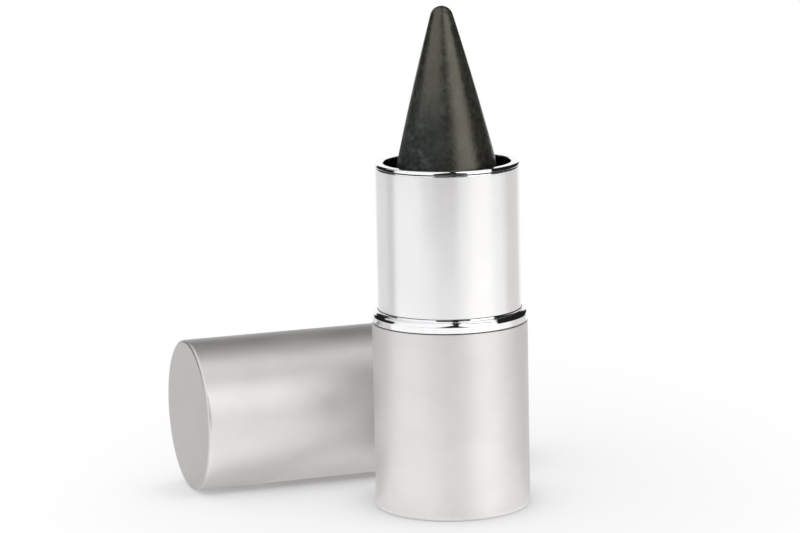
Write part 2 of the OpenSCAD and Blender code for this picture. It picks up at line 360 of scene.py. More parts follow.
# %% Show the studio to shiny rays
glossy = studio.add("ShaderNodeLightPath", out="Is Glossy Ray")
seen = studio.blend(glossy, WHITE, sky)
background = studio.add("ShaderNodeBackground", {"Color": seen, "Strength": 1.0})
studio.add("ShaderNodeOutputWorld", {"Surface": background})
world.cycles.sampling_method = "NONE"
print("world nodes", len(world.node_tree.nodes))

# %% [markdown]
# Turning a piece
#
# Nearly every piece of this container is round: the metal cups are drawn and then trimmed on a
# lathe, the rings are turned, and the stick is cast in a round mould. A lathe needs only a
# section, so that is what we draw: a few corners, each with its distance from the axis, its
# height and its rounding. The tree below does what the lathe does. It rounds the corners with
# Fillet Curve, walks a grid round the axis, and gives each of the grid's points the radius and
# the height of its point on the section. The seam and the poles are then merged, so the piece
# is closed. A short support point on each side of a corner keeps the long walls straight in
# their shading, and the rounding is kept as an attribute, because edges wear first.


# %% Draw a section
SUPPORT = 0.06 * MM
SUPPORT_REACH = 1.35


def section(corners, closed):
    """Corners (radius, height, rounding) in mm, with support points round each rounded corner."""
    points = [(Vector((r, 0, z)) * MM, rounding * MM) for r, z, rounding in corners]
    drawn = []
    for i, (here, rounding) in enumerate(points):
        around = []
        for step in (-1, 1):
            j = i + step
            if rounding and (closed or 0 <= j < len(points)):
                to_next = points[j % len(points)][0] - here
                reach = rounding * SUPPORT_REACH + SUPPORT
                if to_next.length > 2 * reach:
                    around.append((step, here + to_next.normalized() * reach))
        drawn += [(p, 0.0) for step, p in around if step < 0]
        drawn.append((here, rounding))
        drawn += [(p, 0.0) for step, p in around if step > 0]
    return drawn


plain_cup = [(0, 0, 0), (9, 0, 0.4), (9, 20, 0.1), (8, 20, 0.1), (8, 1, 0.2), (0, 1, 0)]
print("a plain cup has", len(section(plain_cup, closed=False)), "section points")


# %% Start a shape tree
def new_tree(name, inputs):
    """An empty Geometry Nodes tree with a geometry in and out and named inputs."""
    group = bpy.data.node_groups.new(name, "GeometryNodeTree")
    group.is_modifier = True
    group.interface.new_socket("Geometry", in_out="OUTPUT", socket_type="NodeSocketGeometry")
    for title, kind, value in [("Geometry", "Geometry", None), *inputs]:
        socket = group.interface.new_socket(title, in_out="INPUT", socket_type="NodeSocket" + kind)
        if value is not None:
            socket.default_value = value
    return group, Tree(group)


LATHE_INPUTS = [
    ("Sides", "Int", 256),
    ("Corner steps", "Int", 5),
    ("Closed section", "Bool", False),
    ("Merge", "Float", 0.0005 * MM),
    ("Turn", "Vector", (0.0, 0.0, 0.0)),
    ("Place", "Vector", (0.0, 0.0, 0.0)),
    ("Material", "Material", None),
]
lathe_group, lathe = new_tree("lathe", LATHE_INPUTS)
print("inputs of the lathe", [title for title, _, _ in LATHE_INPUTS])

# %% Round the corners of the section
given = lathe.add("NodeGroupInput", out="Geometry")
line = lathe.add("GeometryNodeMeshToCurve", {"Mesh": given})
rounding = lathe.add("GeometryNodeInputNamedAttribute", {"Name": "rounding"}, data_type="FLOAT")
line = lathe.add(
    "GeometryNodeFilletCurve",
    {"Curve": line, "Radius": rounding, "Count": given.out("Corner steps"), "Limit Radius": True},
    mode="POLY",
)
print("nodes for the section", len(lathe_group.nodes))

# %% Walk the section round the axis
count = lathe.add(
    "GeometryNodeAttributeDomainSize", {"Geometry": line}, out="Point Count", component="CURVE"
)
rows = count + given.out("Closed section")
columns = given.out("Sides") + 1
grid = lathe.add("GeometryNodeMeshGrid", {"Vertices X": rows, "Vertices Y": columns})
index = lathe.add("GeometryNodeInputIndex")
row = (index // columns) % count
angle = (index % columns) * (2 * math.pi) / given.out("Sides")
place = lathe.add("GeometryNodeInputPosition")
on_line = lathe.add(
    "GeometryNodeSampleIndex",
    {"Geometry": line, "Value": place, "Index": row},
    data_type="FLOAT_VECTOR",
)
wear = lathe.add("GeometryNodeSampleIndex", {"Geometry": line, "Value": rounding, "Index": row})
radius = lathe.add("ShaderNodeSeparateXYZ", {0: on_line})
turned_place = lathe.add(
    "ShaderNodeCombineXYZ",
    {
        "X": radius * lathe.maths("COSINE", angle),
        "Y": radius * lathe.maths("SINE", angle),
        "Z": radius.out("Z"),
    },
)
print("nodes with the walk", len(lathe_group.nodes))

# %% Close the shape and put it in place
shape = lathe.add("GeometryNodeSetPosition", {"Geometry": grid, "Position": turned_place})
shape = lathe.add(
    "GeometryNodeStoreNamedAttribute",
    {"Geometry": shape, "Name": "edge", "Value": wear},
    data_type="FLOAT",
)
shape = lathe.add("GeometryNodeFlipFaces", {"Mesh": shape})
shape = lathe.add("GeometryNodeMergeByDistance", {"Geometry": shape, "Distance": given.out("Merge")})
shape = lathe.add(
    "GeometryNodeTransform",
    {"Geometry": shape, "Translation": given.out("Place"), "Rotation": given.out("Turn")},
)
shape = lathe.add("GeometryNodeSetShadeSmooth", {"Geometry": shape})
shape = lathe.add("GeometryNodeRealizeInstances", {"Geometry": shape})
shape = lathe.add("GeometryNodeSetMaterial", {"Geometry": shape, "Material": given.out("Material")})
lathe.add("NodeGroupOutput", {0: shape})
print("lathe tree nodes", len(lathe_group.nodes))

# %% [markdown]
# From a section to a piece
#
# The tree works as a modifier on a mesh that is nothing but the section's points and lines.


# %% Run a tree on a piece
def with_inputs(piece, group, **values):
    """Adds the tree to a piece as a modifier and sets its inputs, each by its own identifier."""
    modifier = piece.modifiers.new(group.name, "NODES")
    modifier.node_group = group
    for item in group.interface.items_tree:
        if item.in_out == "INPUT" and item.name in values:
            modifier[item.identifier] = values[item.name]


def made_plain(piece):
    """Turns what the modifiers make into the piece's own mesh, and takes the modifiers off."""
    graph = bpy.context.evaluated_depsgraph_get()
    mesh = bpy.data.meshes.new_from_object(piece.evaluated_get(graph), depsgraph=graph)
    piece.modifiers.clear()
    piece.data = mesh
    mesh.name = piece.name


def volume(mesh):
    """The space inside a closed mesh, in cubic mm; below zero when its faces point inwards."""
    mesh.calc_loop_triangles()
    total = 0.0
    for t in mesh.loop_triangles:
        a, b, c = (mesh.vertices[i].co for i in t.vertices)
        total += a.dot(b.cross(c)) / 6
    return total / MM**3


print("ready to run a tree")


# %% Turn a section into a piece
def turned(name, node, body, slot, finish, corners, closed=False, then=(), **values):
    """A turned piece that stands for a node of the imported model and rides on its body."""
    line = section(corners, closed)
    mesh = bpy.data.meshes.new(name)
    links = [(i, i + 1) for i in range(len(line) - 1)] + ([(len(line) - 1, 0)] if closed else [])
    mesh.from_pydata([p for p, _ in line], links, [])
    mesh.attributes.new("rounding", "FLOAT", "POINT").data.foreach_set("value", [r for _, r in line])
    piece = bpy.data.objects.new(name, mesh)
    bpy.context.scene.collection.objects.link(piece)
    with_inputs(piece, lathe_group, **{"Closed section": closed, "Material": finish, **values})
    for group, inputs in then:
        with_inputs(piece, group, **{"Material": finish, **inputs})
    made_plain(piece)
    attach(piece, body)
    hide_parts(node)
    print(name, len(piece.data.polygons), "faces,", round(volume(piece.data), 1), "cubic mm")


print("ready to turn")

# %% [markdown]
# Finishes
#
# A finish is more than a colour. Every pattern in it is laid on the object's own coordinates at
# its real size, so it moves with the piece, and each one moves the colour, the roughness or the
# bump by a little. The helpers below start a material, make noise whose patches have a size in
# metres, stack bumps of a real depth, and put a Principled shader on the output.


# %% Start a finish
def new_finish(name):
    """An empty material and its tree, with the object's own coordinates."""
    material = bpy.data.materials.new(name)
    material.use_nodes = True
    material.node_tree.nodes.clear()
    tree = Tree(material.node_tree)
    return material, tree, tree.add("ShaderNodeTexCoord", out="Object")


def noise(tree, at, size, detail=2.0, stretch=(1.0, 1.0, 1.0)):
    """Noise whose patches are about size metres across, longer along an axis stretched above 1."""
    scaled = tree.add(
        "ShaderNodeVectorMath",
        {0: at, 1: tuple(1 / (size * s) for s in stretch)},
        operation="MULTIPLY",
    )
    return tree.add("ShaderNodeTexNoise", {"Vector": scaled, "Scale": 1.0, "Detail": detail})


def bumped(tree, *layers):
    """Stacks bump layers, each a height from 0 to 1 and its real depth in metres."""
    normal = None
    for height, depth in layers:
        sockets = {"Height": height, "Distance": depth, "Strength": 1.0}
        if normal is not None:
            sockets["Normal"] = normal
        normal = tree.add("ShaderNodeBump", sockets)
    return normal


def principled(tree, **sockets):
    """A Principled shader, whose sockets are named with an underscore for each space."""
    named = {name.replace("_", " "): value for name, value in sockets.items()}
    return tree.add("ShaderNodeBsdfPrincipled", named)


def shade(tree, surface):
    """Puts a shader on the material's output."""
    tree.add("ShaderNodeOutputMaterial", {"Surface": surface})


print("finish helpers ready")

# %% [markdown]
# Satin aluminium
#
# Drawn aluminium that is brushed, etched and anodised keeps a fine grain, faint lines from the
# lathe, cloudy marks from handling, and brighter edges where the layer has rubbed thin. The
# closed end is painted a shade darker: painted shade, which makes that flat face read darker
# than the round side. The base stands and the cap lies, so the axis of the lines and the place
# of the closed end are arguments of one function.


# %% Mix the satin aluminium
SATIN = (0.80, 0.785, 0.775)
SATIN_METAL = 0.9
SATIN_DULL = 0.955
SATIN_WORN = 1.06
SATIN_END_SHADE = 0.84
LINES_LONG = 60.0


def satin(name, rough, around, end):
    """Satin aluminium with lathe lines round an axis (0, 1 or 2) and its closed end at a place on it."""
    material, tree, at = new_finish(name)
    grain = noise(tree, at, 0.07 * MM)
    lines_stretch = tuple(1.0 if axis == around else LINES_LONG for axis in range(3))
    lines = noise(tree, at, 0.12 * MM, 3.0, lines_stretch)
    clouds = tree.step(noise(tree, at, 5.0 * MM, 3.0), 0.3, 0.7)
    smudges = tree.step(noise(tree, at, 9.0 * MM, 4.0), 0.48, 0.72)
    edge = tree.add("ShaderNodeAttribute", out="Fac", attribute_name="edge")
    rubbed = tree.step(noise(tree, at, 0.5 * MM, 3.0), 0.3, 0.6)
    worn = tree.step(edge, 0.02 * MM, 0.3 * MM) * rubbed
    place = tree.add("ShaderNodeSeparateXYZ", {0: at}).out("XYZ"[around])
    # painted shade: the closed end is darkened in its colour, so its flat face reads darker
    painted_end_shade = tree.fall(abs(place - end), 0.05 * MM, 0.3 * MM)
    tone = tree.blend(clouds, tuple(c * SATIN_DULL for c in SATIN), SATIN)
    tone = tree.blend(worn * 0.6, tone, tuple(c * SATIN_WORN for c in SATIN))
    tone = tree.blend(painted_end_shade, tone, tuple(c * SATIN_END_SHADE for c in SATIN))
    shine = principled(
        tree,
        Base_Color=tone,
        Metallic=SATIN_METAL,
        Roughness=rough + (grain - 0.5) * 0.05 + (lines - 0.5) * 0.06 + smudges * 0.05 - worn * 0.08,
        Normal=bumped(tree, (lines, 0.0012 * MM), (grain, 0.0010 * MM)),
    )
    shade(tree, shine)
    return material


CAP_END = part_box("cap_shell")[0][0]
base_finish = satin("satin_aluminium_upright", 0.43, around=2, end=0.0)
cap_finish = satin("satin_aluminium_lying", 0.45, around=0, end=CAP_END)
print(base_finish.name, cap_finish.name)

# %% [markdown]
# Pearl aluminium
#
# The sleeve is polished before it is anodised, so it is brighter and smoother than the base. Its
# top edge leans in and is buffed. Two dark rings of painted shade are laid on it, where the
# joints hold shade: one right under the rim and one right above the collar. Real gaps that
# narrow would be finer than a hair, so a dark tone by height is the better way.

# %% Mix the pearl aluminium
PEARL = (0.90, 0.892, 0.89)
PEARL_CLOUDED = (0.875, 0.868, 0.866)
JOINT_SHADE = (0.02, 0.02, 0.02)
SLEEVE_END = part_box("sleeve_shell")[1][2]
BUFFED_FROM = SLEEVE_END - 0.24 * MM
BUFFED = 0.75
JOINT_DEEP = 0.12
LIP_HIGH = 0.03
UPPER_JOINT = SLEEVE_END - JOINT_DEEP * MM
COLLAR_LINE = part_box("collar_ring")[1][2] + LIP_HIGH * MM

sleeve_finish, tree, at = new_finish("pearl_aluminium")
grain = noise(tree, at, 0.06 * MM)
rubbing = noise(tree, at, 0.25 * MM, 3.0, (1.0, 1.0, LINES_LONG))
clouds = tree.step(noise(tree, at, 6.0 * MM, 3.0), 0.3, 0.7)
height = tree.add("ShaderNodeSeparateXYZ", {0: at}, out="Z")
buffed = tree.step(height, BUFFED_FROM - 0.03 * MM, BUFFED_FROM)
# painted shade: two dark rings where the joints hold shade, under the rim and above the collar
upper_joint_shade = tree.step(height, UPPER_JOINT - 0.02 * MM, UPPER_JOINT - 0.008 * MM)
lower_joint_shade = tree.fall(height, COLLAR_LINE + 0.06 * MM, COLLAR_LINE + 0.075 * MM)
tone = tree.blend(clouds, PEARL_CLOUDED, PEARL)
tone = tree.blend(upper_joint_shade, tone, JOINT_SHADE)
tone = tree.blend(lower_joint_shade, tone, JOINT_SHADE)
satin_rough = 0.22 + (grain - 0.5) * 0.04 + (rubbing - 0.5) * 0.06
shine = principled(
    tree,
    Base_Color=tone,
    Metallic=SATIN_METAL,
    Roughness=satin_rough * (1 - buffed * BUFFED),
    Normal=bumped(tree, (rubbing, 0.0006 * MM), (grain, 0.0006 * MM)),
)
shade(tree, shine)
print(sleeve_finish.name)

# %% [markdown]
# Bright chrome
#
# The collar and the rim are turned and plated. Plating is a mirror, but never a perfect one: a
# slow ripple bends the reflections, and a haze takes the edge off them. The rim also carries
# painted shade on the upper side of the joint, and the inside of its bore is painted almost
# black and made dull, as painted shade inside the opening.

# %% Mix the bright chrome
CHROME = (0.93, 0.93, 0.935)
CHROME_HAZY = (0.90, 0.90, 0.905)
BORE_SHADE = (0.022, 0.021, 0.018)
BORE_SHADE_EDGE = (7.9 * MM, 8.0 * MM)
BORE_SHADE_TOP = (SLEEVE_END + 0.1 * MM, SLEEVE_END + 0.35 * MM)
GROOVE_SHADE_LOW = (SLEEVE_END - 0.2 * MM, SLEEVE_END - 0.15 * MM)
GROOVE_SHADE_TOP = (SLEEVE_END + 0.002 * MM, SLEEVE_END + 0.012 * MM)

chrome_finish, tree, at = new_finish("bright_chrome")
ripple = noise(tree, at, 1.6 * MM)
haze = noise(tree, at, 0.4 * MM, 3.0)
split = tree.add("ShaderNodeSeparateXYZ", {0: at})
height = split.out("Z")
from_axis = tree.length(split.out("X"), split.out("Y"))
# painted shade: the inside of the rim's bore is painted almost black and made dull
in_bore = tree.fall(from_axis, *BORE_SHADE_EDGE) * tree.fall(height, *BORE_SHADE_TOP)
bore_shade = in_bore * tree.step(noise(tree, at, 0.8 * MM, 3.0), 0.2, 0.4, 0.85, 1.0)
tone = tree.blend(tree.step(haze, 0.4, 0.7), CHROME, CHROME_HAZY)
# painted shade: the rim's groove over the sleeve's end is darkened in its colour
tone = tree.blend(tree.band(height, GROOVE_SHADE_LOW, GROOVE_SHADE_TOP), tone, JOINT_SHADE)
tone = tree.blend(bore_shade, tone, BORE_SHADE)
shine = principled(
    tree,
    Base_Color=tone,
    Metallic=1.0,
    Roughness=0.045 + haze * 0.03 + bore_shade * 0.4,
    Normal=bumped(tree, (ripple, 0.001 * MM)),
)
shade(tree, shine)
print(chrome_finish.name)

# %% [markdown]
# Kohl
#
# Kohl is soot and mineral powder bound in wax. Where the skin of the stick is whole it has a
# warm, waxy sheen with darker patches, mottles, pores and a few light specks. Low on its left
# side the skin is dusty instead, and there it is a dull blue-green grey. Those are two shaders,
# and a mask with a ragged edge goes from one to the other. Both have the same uneven skin.

# %% Map the skin of the stick
kohl_finish, tree, at = new_finish("kohl")
patches = noise(tree, at, 3.2 * MM, 4.0)
mottle = noise(tree, at, 0.6 * MM, 5.0)
pores = noise(tree, at, 0.12 * MM, 3.0)
specks = tree.step(noise(tree, at, 0.16 * MM, 1.0), 0.74, 0.80)
bloom = tree.step(noise(tree, at, 1.5 * MM, 4.0), 0.54, 0.74)
skin = bumped(tree, (patches, 0.07 * MM), (mottle, 0.018 * MM), (pores, 0.005 * MM))

DUSTY_UP = (44 * MM, 56 * MM)
DUSTY_UP_RAGGED = 9 * MM
DUSTY_LEFT = (-1.4 * MM, 1.6 * MM)
DUSTY_LEFT_RAGGED = 3 * MM
split = tree.add("ShaderNodeSeparateXYZ", {0: at})
height = split.out("Z") + (patches - 0.5) * DUSTY_UP_RAGGED
to_left = split.out("X") * -to_right[0] + split.out("Y") * -to_right[1]
to_left = to_left + (mottle - 0.5) * DUSTY_LEFT_RAGGED
dusty = tree.fall(height, *DUSTY_UP) * tree.step(to_left, *DUSTY_LEFT)
print("kohl nodes", len(kohl_finish.node_tree.nodes))

# %% Mix the wax and the dust
WAX_DARK = (0.0145, 0.013, 0.011)
WAX = (0.021, 0.023, 0.018)
WAX_MOTTLED = (0.042, 0.041, 0.033)
WAX_SPECK = (0.2, 0.2, 0.17)
WAX_BLOOM = (0.055, 0.062, 0.050)
WAX_SHEEN = (1.0, 0.97, 0.80)
DUST_DARK = (0.0145, 0.0175, 0.015)
DUST = (0.029, 0.035, 0.031)
DUST_BLOOM = (0.060, 0.078, 0.070)

tone = tree.blend(tree.step(patches, 0.35, 0.68), WAX_DARK, WAX)
tone = tree.blend(tree.step(mottle, 0.45, 0.75) * 0.7, tone, WAX_MOTTLED)
tone = tree.blend(specks * 0.8, tone, WAX_SPECK)
tone = tree.blend(bloom * 0.5, tone, WAX_BLOOM)
dust = tree.blend(tree.step(mottle, 0.4, 0.7), DUST_DARK, DUST)
dust = tree.blend(bloom * 0.8, dust, DUST_BLOOM)
waxy = principled(
    tree,
    Base_Color=tone,
    Roughness=0.30 + (mottle - 0.5) * 0.22 + (pores - 0.5) * 0.08,
    Specular_IOR_Level=1.0,
    Specular_Tint=WAX_SHEEN,
    Normal=skin,
)
dull = principled(tree, Base_Color=dust, Roughness=0.6, Specular_IOR_Level=0.22, Normal=skin)
shade(tree, tree.add("ShaderNodeMixShader", {0: dusty, 1: waxy, 2: dull}))
print(kohl_finish.name)

# %% [markdown]
# Plastics, silicone and steel
#
# The inner pieces are moulded. A mould is spark eroded, so it leaves a fine texture, and the
# plastic flows through it in streaks that make the gloss slightly uneven. One function covers
# the black works, the natural inner cap and the silicone ring. The steel weight is turned, and
# its surface is marked by the tool.


# %% Mix the moulded finishes and the steel
def moulded(name, colour, rough, grain_depth):
    """A moulded piece: a fine spark texture, faint flow marks and slightly uneven gloss."""
    material, tree, at = new_finish(name)
    texture = noise(tree, at, 0.09 * MM)
    flow = noise(tree, at, 3.0 * MM, 3.0, (1.0, 1.0, 4.0))
    lighter = tuple(c * 1.18 + 0.004 for c in colour)
    shine = principled(
        tree,
        Base_Color=tree.blend(tree.step(flow, 0.35, 0.7), colour, lighter),
        Roughness=rough + (flow - 0.5) * 0.12 + (texture - 0.5) * 0.08,
        Normal=bumped(tree, (flow, 0.006 * MM), (texture, grain_depth)),
    )
    shade(tree, shine)
    return material


black_finish = moulded("black_plastic", (0.022, 0.022, 0.023), 0.38, 0.003 * MM)
natural_finish = moulded("natural_plastic", (0.80, 0.79, 0.75), 0.34, 0.002 * MM)
silicone_finish = moulded("silicone", (0.52, 0.51, 0.49), 0.5, 0.001 * MM)

steel_finish, tree, at = new_finish("turned_steel")
swirl = noise(tree, at, 0.2 * MM, 3.0, (1.0, 1.0, 8.0))
shine = principled(
    tree,
    Base_Color=tree.blend(swirl, (0.42, 0.42, 0.43), (0.56, 0.56, 0.57)),
    Metallic=1.0,
    Roughness=0.3 + swirl * 0.15,
    Normal=bumped(tree, (swirl, 0.004 * MM)),
)
shade(tree, shine)
print("finishes", len(bpy.data.materials))

# %% [markdown]
# The metal cups and rings
#
# The base and the cap are drawn cups: one sheet of aluminium pressed into a tube with a closed,
# slightly rounded end and a cut, deburred mouth. The sleeve is a plain tube, and the two bright
# rings are turned and plated. Each one is a section with its real roundings, set to the sizes
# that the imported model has, so nothing has to be fitted by eye.


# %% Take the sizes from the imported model
def ends(node):
    """Lowest and highest corner of a node, in mm."""
    return [[round(c / MM, 3) for c in corner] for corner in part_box(node)]


SHELL_R = ends("base_shell")[1][0]
BASE_TOP = ends("base_shell")[1][2]
SHELL_WALL = 0.45
SHELL_BORE_R = SHELL_R - SHELL_WALL
SHELL_EDGE = 0.4
SHELL_INNER_EDGE = 0.25
DEBURRED = 0.07
SLEEVE_R = ends("sleeve_shell")[1][0]
SLEEVE_LOW = ends("sleeve_shell")[0][2]
SLEEVE_TOP = ends("sleeve_shell")[1][2]
SLEEVE_WALL = 0.3
PRESS_GAP = 0.05
PLUG_GAP = 0.06
SLEEVE_BORE_R = SLEEVE_R - SLEEVE_WALL
print("shell", SHELL_R, BASE_TOP, "sleeve", SLEEVE_R, SLEEVE_LOW, SLEEVE_TOP)


# %% Turn the base
def cup(long):
    """Section of a drawn cup, from the middle of its closed end, round the mouth and back."""
    return [
        (0, 0, 0),
        (SHELL_R, 0, SHELL_EDGE),
        (SHELL_R, long, DEBURRED),
        (SHELL_BORE_R, long, DEBURRED),
        (SHELL_BORE_R, SHELL_WALL, SHELL_INNER_EDGE),
        (0, SHELL_WALL, 0),
    ]


turned("base_cup", "base_shell", "base", "satin_aluminium", base_finish, cup(BASE_TOP))

# %% [markdown]
# Edges that lean in
#
# The sleeve's top edge and the outer faces of both rings are not flat. Each leans in on a
# shallow crown and then turns over on a tighter one, and the bands of light and dark that we see
# on them come from that. A bevel of one radius could not place those bands, so the face is
# worked out from two arcs that meet without a kink. Only the shallow arc is chosen: the tight
# one follows from it, because it has to end level at the top.

# %% Turn the sleeve
SHOULDER_STEPS = 16
SLEEVE_JOINT = SLEEVE_TOP - JOINT_DEEP
SLEEVE_LEANS_AT = SLEEVE_JOINT - 0.22
SLEEVE_CROWN_R = 0.8
SLEEVE_LEAN = math.radians(13.0)


def shoulder(r_out, low, high, crown_r, lean, lean_from=0.0):
    """Outer face that leans in on a shallow crown, then on a tighter one that ends level at the top."""
    shares = [i / SHOULDER_STEPS for i in range(SHOULDER_STEPS + 1)]
    crown_x = r_out - crown_r * math.cos(lean_from)
    crown_z = low - crown_r * math.sin(lean_from)
    edge_r = (high - crown_z - crown_r * math.sin(lean)) / (1 - math.sin(lean))
    edge_x = crown_x + (crown_r - edge_r) * math.cos(lean)
    face = []
    for share in shares[:-1]:
        a = lean_from + (lean - lean_from) * share
        face.append((crown_x + crown_r * math.cos(a), crown_z + crown_r * math.sin(a), 0))
    for share in shares:
        a = lean + (math.pi / 2 - lean) * share
        face.append((edge_x + edge_r * math.cos(a), high - edge_r + edge_r * math.sin(a), 0))
    return face


sleeve_section = [
    (SLEEVE_BORE_R, SLEEVE_LOW, 0.05),
    (SLEEVE_R, SLEEVE_LOW, 0.05),
    *shoulder(SLEEVE_R, SLEEVE_LEANS_AT, SLEEVE_JOINT, SLEEVE_CROWN_R, SLEEVE_LEAN),
    (SLEEVE_BORE_R, SLEEVE_JOINT, 0.03),
]
turned(
    "sleeve_tube",
    "sleeve_shell",
    "sleeve",
    "pearl_aluminium",
    sleeve_finish,
    sleeve_section,
    closed=True,
)

# %% Turn the collar
COLLAR_LOW = ends("collar_ring")[0][2]
COLLAR_TOP = ends("collar_ring")[1][2]
COLLAR_BORE_R = SLEEVE_R + PRESS_GAP
COLLAR_LEANS_AT = COLLAR_TOP - 0.74
COLLAR_BEAD_TOP = COLLAR_TOP - 0.16
COLLAR_CROWN_R = 1.73
COLLAR_LEAN = math.radians(22.0)
COLLAR_LEANS_FROM = math.radians(14.0)
LIP_TOP = COLLAR_TOP + LIP_HIGH
LIP_LOW_R = 8.875
LIP_TOP_R = 8.853

collar_shoulder = shoulder(
    SHELL_R, COLLAR_LEANS_AT, COLLAR_BEAD_TOP, COLLAR_CROWN_R, COLLAR_LEAN, COLLAR_LEANS_FROM
)
collar_section = [
    (COLLAR_BORE_R, COLLAR_LOW, 0.05),
    (SHELL_R, COLLAR_LOW, 0.06),
    (SHELL_R, COLLAR_LEANS_AT - 0.05, 0),
    *collar_shoulder,
    (LIP_LOW_R, COLLAR_BEAD_TOP, 0.03),
    (LIP_TOP_R, LIP_TOP, 0.02),
    (COLLAR_BORE_R, LIP_TOP, 0.02),
]
print("the collar's shoulder ends at", collar_shoulder[-1])
turned(
    "collar",
    "collar_ring",
    "sleeve",
    "bright_chrome",
    chrome_finish,
    collar_section,
    closed=True,
)

# %% Turn the rim
RIM_LOW = ends("rim_ring")[0][2]
RIM_TOP = ends("rim_ring")[1][2]
RIM_R = ends("rim_ring")[1][0]
RIM_OPEN_R = 7.76
SPIGOT_R = SLEEVE_BORE_R - PRESS_GAP
RIM_CROWN_R = 1.05
RIM_LEAN = math.radians(19.0)
RIM_LEANS_FROM = math.radians(3.0)

rim_shoulder = shoulder(RIM_R, SLEEVE_TOP, RIM_TOP, RIM_CROWN_R, RIM_LEAN, RIM_LEANS_FROM)
rim_section = [
    (RIM_OPEN_R, RIM_LOW, 0.05),
    (SPIGOT_R, RIM_LOW, 0.05),
    (SPIGOT_R, SLEEVE_TOP, 0.02),
    (RIM_R - 0.02, SLEEVE_TOP, 0),
    *rim_shoulder,
    (RIM_OPEN_R, RIM_TOP, 0.1),
]
print("the rim's shoulder ends at", rim_shoulder[-1])
turned(
    "rim",
    "rim_ring",
    "sleeve",
    "bright_chrome",
    chrome_finish,
    rim_section,
    closed=True,
    **{"Corner steps": 12},
)

# %% [markdown]
# The cap
#
# The cap is the same drawn cup as the base, only longer, and it lies on its side. It is turned
# upright like everything else, and then the inputs Turn and Place of the lathe tree lay it down
# and put it in its place, so that its object can stay at the origin. Inside sits a moulded inner
# cap, whose plug lip closes the rim when the cap is on.

# %% Turn the cap
CAP_LEFT = ends("cap_shell")[0][0]
CAP_LONG = ends("cap_shell")[1][0] - CAP_LEFT
CAP_Y = sum(corner[1] for corner in ends("cap_shell")) / 2
LAID = {
    "Turn": (0.0, math.pi / 2, 0.0),
    "Place": (CAP_LEFT * MM, CAP_Y * MM, SHELL_R * MM),
}
turned("cap_cup", "cap_shell", "cap", "satin_aluminium", cap_finish, cup(CAP_LONG), **LAID)

# %% Turn the inner cap
LINER_R = SHELL_BORE_R - PRESS_GAP
LINER_LOW = SHELL_WALL + PRESS_GAP
LINER_TOP = COLLAR_TOP + CAP_LONG - RIM_TOP - PRESS_GAP
LINER_WALL = 0.7
CHAMBER_R = LINER_R - LINER_WALL
PLUG_R = RIM_OPEN_R - PLUG_GAP
PLUG_WALL = 0.6
PLUG_BORE_R = PLUG_R - PLUG_WALL
PLUG_TOP = ends("cap_liner")[1][0] - CAP_LEFT

liner_section = [
    (0, LINER_LOW, 0),
    (LINER_R, LINER_LOW, 0.2),
    (LINER_R, LINER_TOP, 0.08),
    (PLUG_R, LINER_TOP, 0.08),
    (PLUG_R, PLUG_TOP, 0.28),
    (PLUG_BORE_R, PLUG_TOP, 0.1),
    (PLUG_BORE_R, LINER_TOP - LINER_WALL, 0.2),
    (CHAMBER_R, LINER_TOP - 2 * LINER_WALL, 0.3),
    (CHAMBER_R, LINER_LOW + LINER_WALL, 0.3),
    (0, LINER_LOW + LINER_WALL, 0),
]
turned("inner_cap", "cap_liner", "cap", "natural_plastic", natural_finish, liner_section, **LAID)

# %% [markdown]
# The kohl stick
#
# The stick is cast in a mould and trimmed to a blunt cone whose side bows outwards by about a
# tenth of a millimetre. A cast stick is never quite straight or quite smooth: this one leans a
# little to one side, and its skin is faintly uneven. A second small tree does both to the turned
# shape, so that they are real shape and not only shading.

# %% Build the cast tree
CAST_INPUTS = [
    ("Unevenness", "Float", 0.02 * MM),
    ("Patch", "Float", 2.4 * MM),
    ("Lean", "Vector", (0.0, 0.0, 0.0)),
    ("Lean from", "Float", 0.0),
    ("Lean to", "Float", 1.0),
    ("Seed", "Float", 4.0),
    ("Material", "Material", None),
]
cast_group, cast = new_tree("cast", CAST_INPUTS)
given = cast.add("NodeGroupInput", out="Geometry")
place = cast.add("GeometryNodeInputPosition")
height = cast.add("ShaderNodeSeparateXYZ", {0: place}, out="Z")
share = cast.add(
    "ShaderNodeMath",
    {0: height - given.out("Lean from"), 1: given.out("Lean to") - given.out("Lean from")},
    operation="DIVIDE",
    use_clamp=True,
)
leaning = cast.add("ShaderNodeVectorMath", {0: given.out("Lean"), "Scale": share}, operation="SCALE")
lumps = cast.add(
    "ShaderNodeTexNoise",
    {"Vector": place, "W": given.out("Seed"), "Scale": 1 / given.out("Patch"), "Detail": 3.0},
    noise_dimensions="4D",
)
swell = cast.add(
    "ShaderNodeVectorMath",
    {0: cast.add("GeometryNodeInputNormal"), "Scale": (lumps - 0.5) * share * given.out("Unevenness")},
    operation="SCALE",
)
offset = cast.add("ShaderNodeVectorMath", {0: leaning, 1: swell}, operation="ADD")
shape = cast.add("GeometryNodeSetPosition", {"Geometry": given, "Offset": offset})
shape = cast.add("GeometryNodeRealizeInstances", {"Geometry": shape})
shape = cast.add("GeometryNodeSetMaterial", {"Geometry": shape, "Material": given.out("Material")})
cast.add("NodeGroupOutput", {0: shape})
print("cast tree nodes", len(cast_group.nodes))


# %% Draw the cone
STICK_R = 6.05
STICK_LOW = ends("kohl_stick")[0][2]
STICK_TOP = ends("kohl_stick")[1][2]
STICK_STRAIGHT = 15.45
CONE_LOW = STICK_LOW + STICK_STRAIGHT
TIP_R = 1.4
CONE_BOW = 0.12


